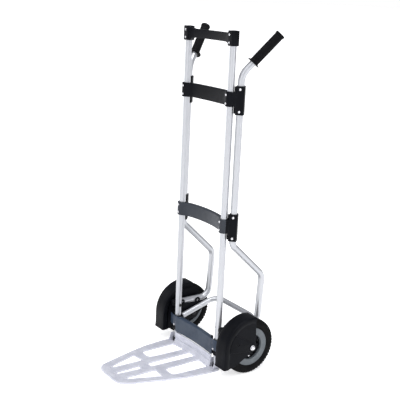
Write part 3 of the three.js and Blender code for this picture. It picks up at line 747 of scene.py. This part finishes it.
def screw_head(bm, point, outward, radius, height):
    """Domed screw head with a cross recess."""
    arm, width = radius * 0.62, radius * 0.17
    cross = []
    for quarter in range(4):
        turn = Matrix.Rotation(quarter * math.pi / 2, 2)
        cross += [tuple(turn @ Vector(p)) for p in ((arm, -width), (arm, width), (width, width))]
    plane = placed(point, outward) @ YZ
    slab(bm, circle(0, 0, radius, 28), 0, height, height * 0.55, [cross], plane, rounding=4)
    slab(bm, circle(0, 0, radius * 0.8, 20), 0, height * 0.3, 0.05, (), plane)


def rivet_head(bm, point, outward):
    """Pop rivet: a domed flange with the broken mandrel sunk in its middle."""
    profile = [(0, 0), (0, 4.6), (0.7, 4.5), (1.6, 3.9), (2.2, 2.9), (2.4, 2.0), (2.0, 1.7),
               (1.2, 1.6), (1.2, 0.8), (1.5, 0.5), (1.55, 0)]
    part = bmesh.new()
    turned(part, profile, segments=28)
    part.transform(placed(point, outward))
    mesh = bpy.data.meshes.new("rivet")
    part.to_mesh(mesh)
    part.free()
    bm.from_mesh(mesh)
    bpy.data.meshes.remove(mesh)


FORWARD = Vector((0, -1, 0))
SCREW_RADIUS = 4.2
SCREW_HEIGHTS = {
    "top_bar": (1262, 1234),
    "upper_crossbar": (1053.5, 1022.5),
    "middle_crossbar": (587, 557),
    "bottom_crossbar": (82,),
}
for bar, heights in SCREW_HEIGHTS.items():
    for number, z in enumerate(heights, 1):
        node = "{side}_%s_screw_%d" % (bar, number)
        low, high = node_span(node.format(side="right"))
        seat = Vector(((low.x + high.x) / 2, high.y, z))

        @pair(node + "_head", "frame", STEEL, [node])
        def screw(bm):
            screw_head(bm, seat, FORWARD, SCREW_RADIUS, high.y - low.y)

OUTWARD = Vector((math.sin(DIAGONAL), -math.cos(DIAGONAL), 0))
for level, bar in (("upper", UPPER_BAR), ("middle", MIDDLE_BAR)):
    for number in (1, 2):
        node = "{side}_%s_bracket_rivet_%d" % (level, number)
        low, high = node_span(node.format(side="right"))
        height = (low.z + high.z) / 2
        seat = Vector((REAR_X, REAR_Y, height)) + OUTWARD * (SLEEVE_HALF + 0.1)

        @pair(node + "_head", "frame", STEEL, [node])
        def rivet(bm):
            rivet_head(bm, seat, OUTWARD)


def bolt_shank(bm, start, end, y, z):
    radius = 3
    profile = [(start, 0), (start, radius), (end, radius), (end, 0)]
    turned(bm, profile, (0, y, z), segments=16)


@pair("{side}_strut_bolt_heads", "frame", BLACK_STEEL, ["{side}_strut_bolt"])
def strut_bolt(bm):
    low, high = node_span("right_strut_bolt")
    bolt_shank(bm, low.x + 2, high.x - 2, 0, STRUT_Z)
    for x, outward in ((high.x - 3, 1), (low.x + 3, -1)):
        screw_head(bm, Vector((x, 0, STRUT_Z)), (outward, 0, 0), 6.5, 3)


@pair("{side}_brace_bolt", "frame", STEEL)
def brace_bolt(bm):
    y, z = 31, 116.5
    bolt_shank(bm, 130, 151, y, z)
    screw_head(bm, Vector((150.3, y, z)), (1, 0, 0), 5.0, 2.4)
    screw_head(bm, Vector((124.3, y, z)), (-1, 0, 0), 4.4, 1.6)


@pair("{side}_axle_nut_domed", "frame", STEEL, ["{side}_axle_nut"])
def axle_nut(bm):
    """A flange, a hexagon with rounded corners and a dome that closes it."""
    low, high = node_span("right_axle_nut")
    x0, centre = low.x, (0, AXLE_Y, AXLE_Z)
    flange = [(x0, AXLE_BORE), (x0, 9.4), (x0 + 0.4, 9.8), (x0 + 1.3, 9.8), (x0 + 1.7, 9.4),
              (x0 + 1.7, AXLE_BORE), (x0, AXLE_BORE)]
    turned(bm, flange, centre, segments=48)
    hexagon = [from_axle(8.6, math.pi / 3 * i + 0.3) for i in range(6)]
    slab(bm, rounded(hexagon, 0.8, 2), x0 + 1.5, x0 + 5.6, 0.5, [round_axle(AXLE_BORE)], YZ)
    dome_radius = 7.6
    dome = [(x0 + 5 + (high.x - x0 - 5) * math.sin(a), dome_radius * math.cos(a))
            for a in (math.pi / 2 * i / 7 for i in range(1, 7))]
    turned(bm, [(x0 + 5, 0), (x0 + 5, dome_radius), *dome, (high.x, 0)], centre, segments=40)


# ---- wheels ----

WHEEL_CENTRE = (WHEEL_X, AXLE_Y, AXLE_Z)
DRAWN_RADIUS = 108.5  # the tyre's profile is drawn to this radius, then scaled to the wheel
TREAD_RADIUS = 96  # the tread starts here
TREAD_LUGS = 50


def tread(across, radius, angle):
    """Shoulder lugs, a groove on each side of the middle and fine notches in the middle."""
    lug_gap, groove, notch = 2.4, 1.6, 1.2
    side = abs(across)
    if radius < TREAD_RADIUS:
        return radius
    phase = (angle * TREAD_LUGS / (2 * math.pi) + (0.5 if across < 0 else 0)) % 1
    if side > 9 and phase < 0.3:
        return radius - lug_gap
    if 5 < side < 8:
        return radius - groove
    if side <= 5 and phase > 0.8:
        return radius - notch
    return radius


@pair("{side}_tyre_treaded", "{side}_wheel", TYRE, ["{side}_tyre"], sharp=40)
def tyre(bm):
    scale = WHEEL_RADIUS / DRAWN_RADIUS
    half = [(19.2, 71.5), (19.2, 75), (22.4, 75.4), (23.4, 77.4), (23.1, 79.6), (24.2, 83),
            (24.9, 88), (24.8, 93), (24.3, 96.5), (23.9, 97.2), (23.2, 100.5), (21.6, 103.6),
            (18.8, 106), (15, 107.3), (9.2, 108.1), (8.8, 108.1), (7.8, 108.2), (5.2, 108.4),
            (4.8, 108.4), (0, DRAWN_RADIUS)]
    half = [(min(across, TYRE_HALF_WIDTH), radius * scale) for across, radius in half]
    hollow = [(-14, 71.5), (-18, 90), (18, 90), (14, 71.5)]
    profile = half + [(-across, radius) for across, radius in half[-2::-1]] + hollow
    turned(bm, profile, WHEEL_CENTRE, segments=TREAD_LUGS * 8, shape=tread)


@pair("{side}_rim_turned", "{side}_wheel", GREY, ["{side}_rim"])
def rim(bm):
    outside = [(18.8, 70.9), (18.9, 73.8), (19.8, 74.5), (21.4, 74.1), (22, 72.8), (21.8, 71.2),
               (21.2, 70), (21.2, 55), (21.7, 53.4), (21.9, 51.6), (21.4, 50.3), (20, 49.8),
               (9, 49.2), (9, 51.5), (18, 52.2), (18.6, 55), (18.6, 68)]
    inside = [(-19, 68), (-20.4, 66), (-21.4, 60), (-22, 61), (-21.8, 74.6), (-20.8, 76),
              (-19.2, 75.4), (-19, 70.9)]
    turned(bm, outside + inside, WHEEL_CENTRE, segments=96)


@pair("{side}_hub_moulded", "{side}_wheel", BLACK, ["{side}_hub"])
def hub(bm):
    """A disc with round holes and a raised edge round each, a barrel, and ribs between holes."""
    holes, hole_radius, hole_at = 5, 8.2, 34.5
    top = math.radians(90)
    face = WHEEL_X + 11.5
    centres = [from_axle(hole_at, 2 * math.pi * i / holes + top) for i in range(holes)]
    cuts = [circle(*centre, hole_radius, 28) for centre in centres]
    disc = round_axle(67.4, 80)
    slab(bm, disc, WHEEL_X + 8, WHEEL_X + 12, 0.6, [*cuts, round_axle(12, 32)], YZ)
    for centre, cut in zip(centres, cuts):
        raised = circle(*centre, hole_radius + 2.2, 28)
        slab(bm, raised, face, WHEEL_X + 16, 0.9, [cut], YZ)
    barrel = [(-23, 10.3), (-23, 19), (-22, 20), (-4, 20), (0, 24), (2, 27), (6, 27), (8, 23),
              (11, 20.5), (21.6, 19.6), (22.6, 18.6), (22.6, 16), (21.4, 15), (21.4, 10.3)]
    turned(bm, barrel, WHEEL_CENTRE, segments=64)
    for i in range(holes):
        a = 2 * math.pi * (i + 0.5) / holes + top
        along, across = Vector((math.cos(a), math.sin(a))), Vector((-math.sin(a), math.cos(a)))
        rib = [tuple(Vector((AXLE_Y, AXLE_Z)) + along * r + across * w)
               for r, w in ((18, -1.6), (49.4, -1.2), (49.4, 1.2), (18, 1.6))]
        slab(bm, rib, face, WHEEL_X + 17, 0.4, plane=YZ)


@pair("{side}_valve_stem", "{side}_wheel", STEEL)
def valve(bm):
    y, z = from_axle(36, math.radians(262))
    profile = [(4, 0), (4, 4.2), (6, 4.2), (6.6, 3.2), (14, 2.8), (14.3, 3.4), (20, 3.4),
               (20.7, 2.8), (20.7, 0)]
    turned(bm, profile, (WHEEL_X, y, z), segments=24)


# ---- fenders ----

REAR_EDGE = 80  # degrees round the axle, where the fender's cover starts behind its top


def fender_edge(radius):
    """Side view of a line on the cover: an arc over the top, then straight down to a flared lip."""
    points = arc(FENDER_Y, AXLE_Z, radius, REAR_EDGE, 180, 34)
    front = FENDER_Y - radius
    flare = 2.0 if radius > FENDER_RADIUS - 12 else 0  # the side walls don't flare
    drop = AXLE_Z - FENDER_BOTTOM
    points += [(front, AXLE_Z - drop * down) for down in (0.2, 0.4, 0.6, 0.76)]
    return points + [(front - flare * 0.2, AXLE_Z - drop * 0.86),
                     (front - flare * 0.7, AXLE_Z - drop * 0.95),
                     (front - flare, FENDER_BOTTOM)]


def fender_wall(radius, rear_edge=REAR_EDGE):
    """Outline of a side wall, from the cover in to the axle."""
    hub_radius = 18
    edge = fender_edge(radius)
    if rear_edge < REAR_EDGE:
        edge = arc(FENDER_Y, AXLE_Z, radius, rear_edge, REAR_EDGE, 8)[:-1] + edge
    foot = [(-24, FENDER_BOTTOM + 2.5), (2, FENDER_BOTTOM + 5)]
    return edge + foot + arc(AXLE_Y, AXLE_Z, hub_radius, -62, 8, 14)


@pair("{side}_fender_moulded", "frame", BLACK, ["{side}_fender"])
def fender(bm):
    x0, x1, r, wall = FENDER_IN + 2.5, FENDER_OUT, FENDER_RADIUS, 2.4
    # cross-section of the cover as (x, radius), its outer line and then its inner line
    outside = [(x0, r - 22), (x0, r - 3.5), (x0 + 0.5, r - 1.6), (x0 + 1.6, r - 0.5), (x0 + 3.5, r),
               (x0 + 20, r), (x1 - 20, r), (x1 - 7, r), (x1 - 4, r - 0.6), (x1 - 2, r - 2.2),
               (x1 - 0.8, r - 4.6), (x1 - 0.3, r - 7.5), (x1 - 0.3, r - 14), (x1 - 0.7, r - 16),
               (x1 - 1.6, r - 19), (x1 - 2.2, r - 22)]
    inside = [(x1 - 2.2 - wall, r - 22), (x1 - wall - 2.0, r - 9), (x1 - 7, r - wall - 0.8),
              (x1 - 12, r - wall), (x0 + 12, r - wall), (x0 + 5, r - wall - 0.6),
              (x0 + wall, r - 5), (x0 + wall, r - 22)]
    edges = [[(x, *point) for point in fender_edge(radius)] for x, radius in outside + inside]
    skin(bm, zip(*edges), ends=True)

    # outer and inner side wall
    holes = [round_axle(AXLE_BORE), circle(*from_axle(69, math.radians(160)), 2.6, 16)]
    slab(bm, fender_wall(r - 18), x1 - 4.4, x1 - 2.2, 0.6, holes, YZ)
    slab(bm, fender_wall(r - 18, 58), x0, x0 + 2.4, 0.6, holes[:1], YZ)
    # raised arm from the axle to the front, between two creases, and a ring round the nut
    arm = arc(FENDER_Y, AXLE_Z, r - 21, 139, 181, 20) + arc(AXLE_Y, AXLE_Z, 16, 252, 70, 12)
    slab(bm, arm, x1 - 3, x1 - 0.4, 1.2, holes, YZ, rounding=3)
    slab(bm, round_axle(17.5, 40), x1 - 3, x1 - 0.1, 1.0, holes[:1], YZ, rounding=3)


# ---- toe plate ----

PLATE_TOP = 7.0
HALF_WIDTH = 160
REAR = -2  # rear edge of the plate
OPENINGS = [  # corners anticlockwise seen from above, and corner radii
    ([(-15.5, -218), (15.5, -218), (20.5, -19.5), (-20.5, -19.5)], [13, 13, 11, 11]),
    ([(-7.5, -360), (7.5, -360), (12, -257), (-12, -257)], [4, 4, 3, 3]),
]
for side in (1, -1):
    for corners, radii in (
        ([(57, -186), (116, -183), (122, -30), (52, -23)], [24, 20, 16, 13]),
        ([(48, -346), (62, -346), (105, -224), (48, -218)], [4, 4, 5, 5]),
    ):
        OPENINGS.append(([(side * x, y) for x, y in corners][::side], radii[::side]))


def toe_outline(inset):
    """Outline of the toe plate, anticlockwise from its rear left corner, moved in by inset."""
    w, tip = HALF_WIDTH - inset, TOE_FRONT + inset
    left = [(-w - 6, -10 - inset), (-w - 6, -55)]
    left += cubic((-w - 6, -60), (-w - 5, -80), (-w - 2, -100), (-w, -115), 5)
    left += cubic((-w, -118), (2 - w, -165), (inset - 116, -290), (inset - 94, -358))
    left += cubic((inset - 93, -361), (inset - 85, -384), (inset * 0.7 - 66, tip), (-38, tip), 10)
    return left + [(-x, y) for x, y in left[::-1]]


@piece("toe_plate_ribbed", "toe_plate", CAST, ["toe_plate"], sharp=40)
def toe_plate(bm):
    lip_half, lip_foot = 124.7, 3
    # a gap in the rear edge takes each post's foot
    gap_end, gap_front = 153.2, -14
    gap = [(HALF_WIDTH, REAR), (gap_end, REAR), (gap_end, gap_front), (lip_half, gap_front),
           (lip_half, REAR)]
    rear = []
    for side in (1, -1):
        rear += [(side * x, y) for x, y in gap][::side]
    holes = [rounded(corners, radii) for corners, radii in OPENINGS]
    holes += [circle(x, y, 2.6, 14) for x, y in ((-53, -357), (0, -369), (53, -357))]
    slab(bm, toe_outline(0) + rear, 0, PLATE_TOP - 1.2, 1.6, holes, rounding=3)

    def bead(outer, inner):
        slab(bm, outer, PLATE_TOP - 3, PLATE_TOP, 1.45, [inner], rounding=3)

    # raised beads: one inside the plate's edge, one round each opening
    bead(toe_outline(0.4) + [(160, -2.4), (-160, -2.4)],
         toe_outline(5.6) + [(154, -7.6), (-154, -7.6)])
    for corners, radii in OPENINGS:
        bead(rounded(grown(corners, 4.4), [r + 3.5 for r in radii]),
             rounded(grown(corners, 0.3), radii))

    # upright lip behind the load, bowed back in its middle; sections are (y from its front, z)
    ramp = [(-8.6, lip_foot), (-8.6, PLATE_TOP - 1.2), (-7.6, PLATE_TOP - 0.2),
            (-5.9, PLATE_TOP + 2), (-4.2, PLATE_TOP + 5.5), (-2.8, PLATE_TOP + 10),
            (-2, PLATE_TOP + 14)]
    groove = [(-1.2, PLATE_TOP + 15.2), (0.6, PLATE_TOP + 15.8), (1.8, PLATE_TOP + 16.8),
              (1.6, PLATE_TOP + 18), (0.4, PLATE_TOP + 19), (0, PLATE_TOP + 20.4)]
    top = [(0, LIP_TOP - 1.6), (0.6, LIP_TOP - 0.4), (2, LIP_TOP), (3.4, LIP_TOP - 0.4),
           (4, LIP_TOP - 1.6), (4, lip_foot)]
    lip_front, bow = -19, 7
    rings = []
    for i in range(31):
        x = lip_half * (i / 15 - 1)
        y = lip_front + bow * (1 - (x / lip_half) ** 2)
        rings.append([Vector((x, y + dy, z)) for dy, z in ramp + groove + top])
    skin(bm, rings, ends=True)

    # ears that turn on the hinge pins: an inner and an outer one on each side
    ear_wall, ear_radius, pin_bore = 4, 10, 4.3
    for x, front, shoulder in ((120.7, lip_front, -15), (gap_end, -32, -20)):
        ear = [(front, 1), (REAR, 1), *arc(0, HINGE_Z, ear_radius, -55, 90, 12),
               (shoulder, HINGE_Z + ear_radius)]
        for start in (x, -x - ear_wall):
            slab(bm, ear, start, start + ear_wall, 0.9, [circle(0, HINGE_Z, pin_bore, 20)], YZ)


@piece("toe_plate_snap_tab", "frame", BLACK)
def snap_tab(bm):
    """Small hook above the bottom crossbar that holds the folded toe plate."""
    top = BOTTOM_BAR[1]
    outline = [(-8, top - 8), (-8, top + 6), *arc(-11, top + 7, 3, -10, 190, 8), (-15, top + 3),
               (-12, top - 8)]
    slab(bm, outline, 112, 121, 0.8, plane=YZ)


# ---- CAD nodes that stay as they are ----

KEPT = {
    BLACK: ["right_foot", "left_foot"],
    STEEL: ["right_hinge_pin", "left_hinge_pin"],
    BLACK_STEEL: ["right_axle", "left_axle", "right_axle_bush", "left_axle_bush"],
}
for kept_material, names in KEPT.items():
    for kept_name in names:
        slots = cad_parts[kept_name].data.materials
        slots.clear()
        slots.append(kept_material)

# ---- floor, light and camera ----

FLOOR_HALF = 60
FLOOR_DROP = 0.0005  # the floor lies this far below the object, so that no faces coincide
FLOOR_GLOW = 0.60

floor_material = material(
    "studio_floor", (0.86, 0.86, 0.86), (0.84, 0.84, 0.84), rough=(0.6, 0.7), patch=2, grain=300,
    grain_depth=0.00001, speck=0.01)
floor_glow = floor_material.node_tree.nodes["Principled BSDF"].inputs
floor_glow["Emission Color"].default_value = (1, 1, 1, 1)
floor_glow["Emission Strength"].default_value = FLOOR_GLOW
floor_mesh = bpy.data.meshes.new("studio_floor")
bm = bmesh.new()
bmesh.ops.create_grid(bm, x_segments=8, y_segments=8, size=FLOOR_HALF)
bm.to_mesh(floor_mesh)
bm.free()
floor_mesh.materials.append(floor_material)
floor = bpy.data.objects.new("studio_floor", floor_mesh)
floor.location.z = -FLOOR_DROP
bpy.context.scene.collection.objects.link(floor)
floor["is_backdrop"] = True

# The camera sees a white backdrop. The object is lit by a fill that is stronger from one side.
BACKDROP_STRENGTH = 1.0
FILL_COLOUR = (0.93, 0.94, 1.0, 1)
FILL_DIRECTION = (0.82, -0.57, 0)  # where the fill is strongest
FILL_STRENGTH = (0.36, 0.60)  # weakest and strongest

world = bpy.data.worlds.new("studio")
bpy.context.scene.world = world
world.use_nodes = True
sky_nodes, sky_links = world.node_tree.nodes, world.node_tree.links
backdrop = sky_nodes["Background"]
backdrop.inputs["Color"].default_value = (1, 1, 1, 1)
backdrop.inputs["Strength"].default_value = BACKDROP_STRENGTH
fill = sky_nodes.new("ShaderNodeBackground")
fill.inputs["Color"].default_value = FILL_COLOUR
sky_direction = sky_nodes.new("ShaderNodeTexCoord")
toward_front = sky_nodes.new("ShaderNodeVectorMath")
toward_front.operation = "DOT_PRODUCT"
toward_front.inputs[1].default_value = FILL_DIRECTION
sky_links.new(sky_direction.outputs["Generated"], toward_front.inputs[0])
front_gain = sky_nodes.new("ShaderNodeMapRange")
set_range(front_gain, -0.3, 0.9, *FILL_STRENGTH)
sky_links.new(toward_front.outputs["Value"], front_gain.inputs["Value"])
sky_links.new(front_gain.outputs["Result"], fill.inputs["Strength"])
seen = sky_nodes.new("ShaderNodeLightPath")
sky_mix = sky_nodes.new("ShaderNodeMixShader")
sky_links.new(seen.outputs["Is Camera Ray"], sky_mix.inputs["Fac"])
sky_links.new(fill.outputs["Background"], sky_mix.inputs[1])
sky_links.new(backdrop.outputs["Background"], sky_mix.inputs[2])
sky_links.new(sky_mix.outputs["Shader"], sky_nodes["World Output"].inputs["Surface"])


def area_light(name, place, target, size, power):
    """Rectangular light at a place, facing a target; size is (width, height) in metres."""
    light = bpy.data.lights.new(name, "AREA")
    light.shape = "RECTANGLE"
    light.size, light.size_y = size
    light.energy = power
    holder = bpy.data.objects.new(name, light)
    holder.location = place
    holder.rotation_euler = (Vector(target) - Vector(place)).to_track_quat("-Z", "Y").to_euler()
    bpy.context.scene.collection.objects.link(holder)


area_light("front_light", (1.6, -3.6, 2.2), (0, 0, 0.6), (1.6, 2.4), 22)
area_light("side_light", (3.6, 1.2, 1.9), (0, 0, 0.6), (1.0, 2.4), 22)
area_light("top_light", (0.4, -0.2, 3.2), (0, 0, 0.6), (1.3, 1.3), 22)
area_light("left_light", (-3.6, -1.2, 1.1), (0, 0, 0.7), (0.5, 2.6), 16)
sun = bpy.data.lights.new("soft_top_light", "SUN")
sun.energy = 1.7
sun.angle = math.radians(70)
sun_holder = bpy.data.objects.new("soft_top_light", sun)
sun_holder.rotation_euler = (math.radians(18), math.radians(14), 0)
bpy.context.scene.collection.objects.link(sun_holder)
bpy.context.scene.view_settings.view_transform = "Standard"

FOCAL_LENGTH, SENSOR_WIDTH = 74.49, 36
CAMERA_PLACE = Vector((2478.9, -1760.6 + SETBACK, 1421.8)) * MM
CAMERA_SIDE = Vector((0.7914, -0.5576, 0.2506))  # from what it looks at toward the camera
CAMERA_ROLL = math.radians(2.573)

lens = bpy.data.cameras.new("photo_camera")
lens.lens = FOCAL_LENGTH
lens.sensor_width = SENSOR_WIDTH
camera = bpy.data.objects.new("photo_camera", lens)
camera.location = CAMERA_PLACE
camera.rotation_mode = "QUATERNION"
camera.rotation_quaternion = (
    (-CAMERA_SIDE).to_track_quat("-Z", "Y") @ Quaternion((0, 0, 1), CAMERA_ROLL))
bpy.context.scene.collection.objects.link(camera)
bpy.context.scene.camera = camera

low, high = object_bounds()
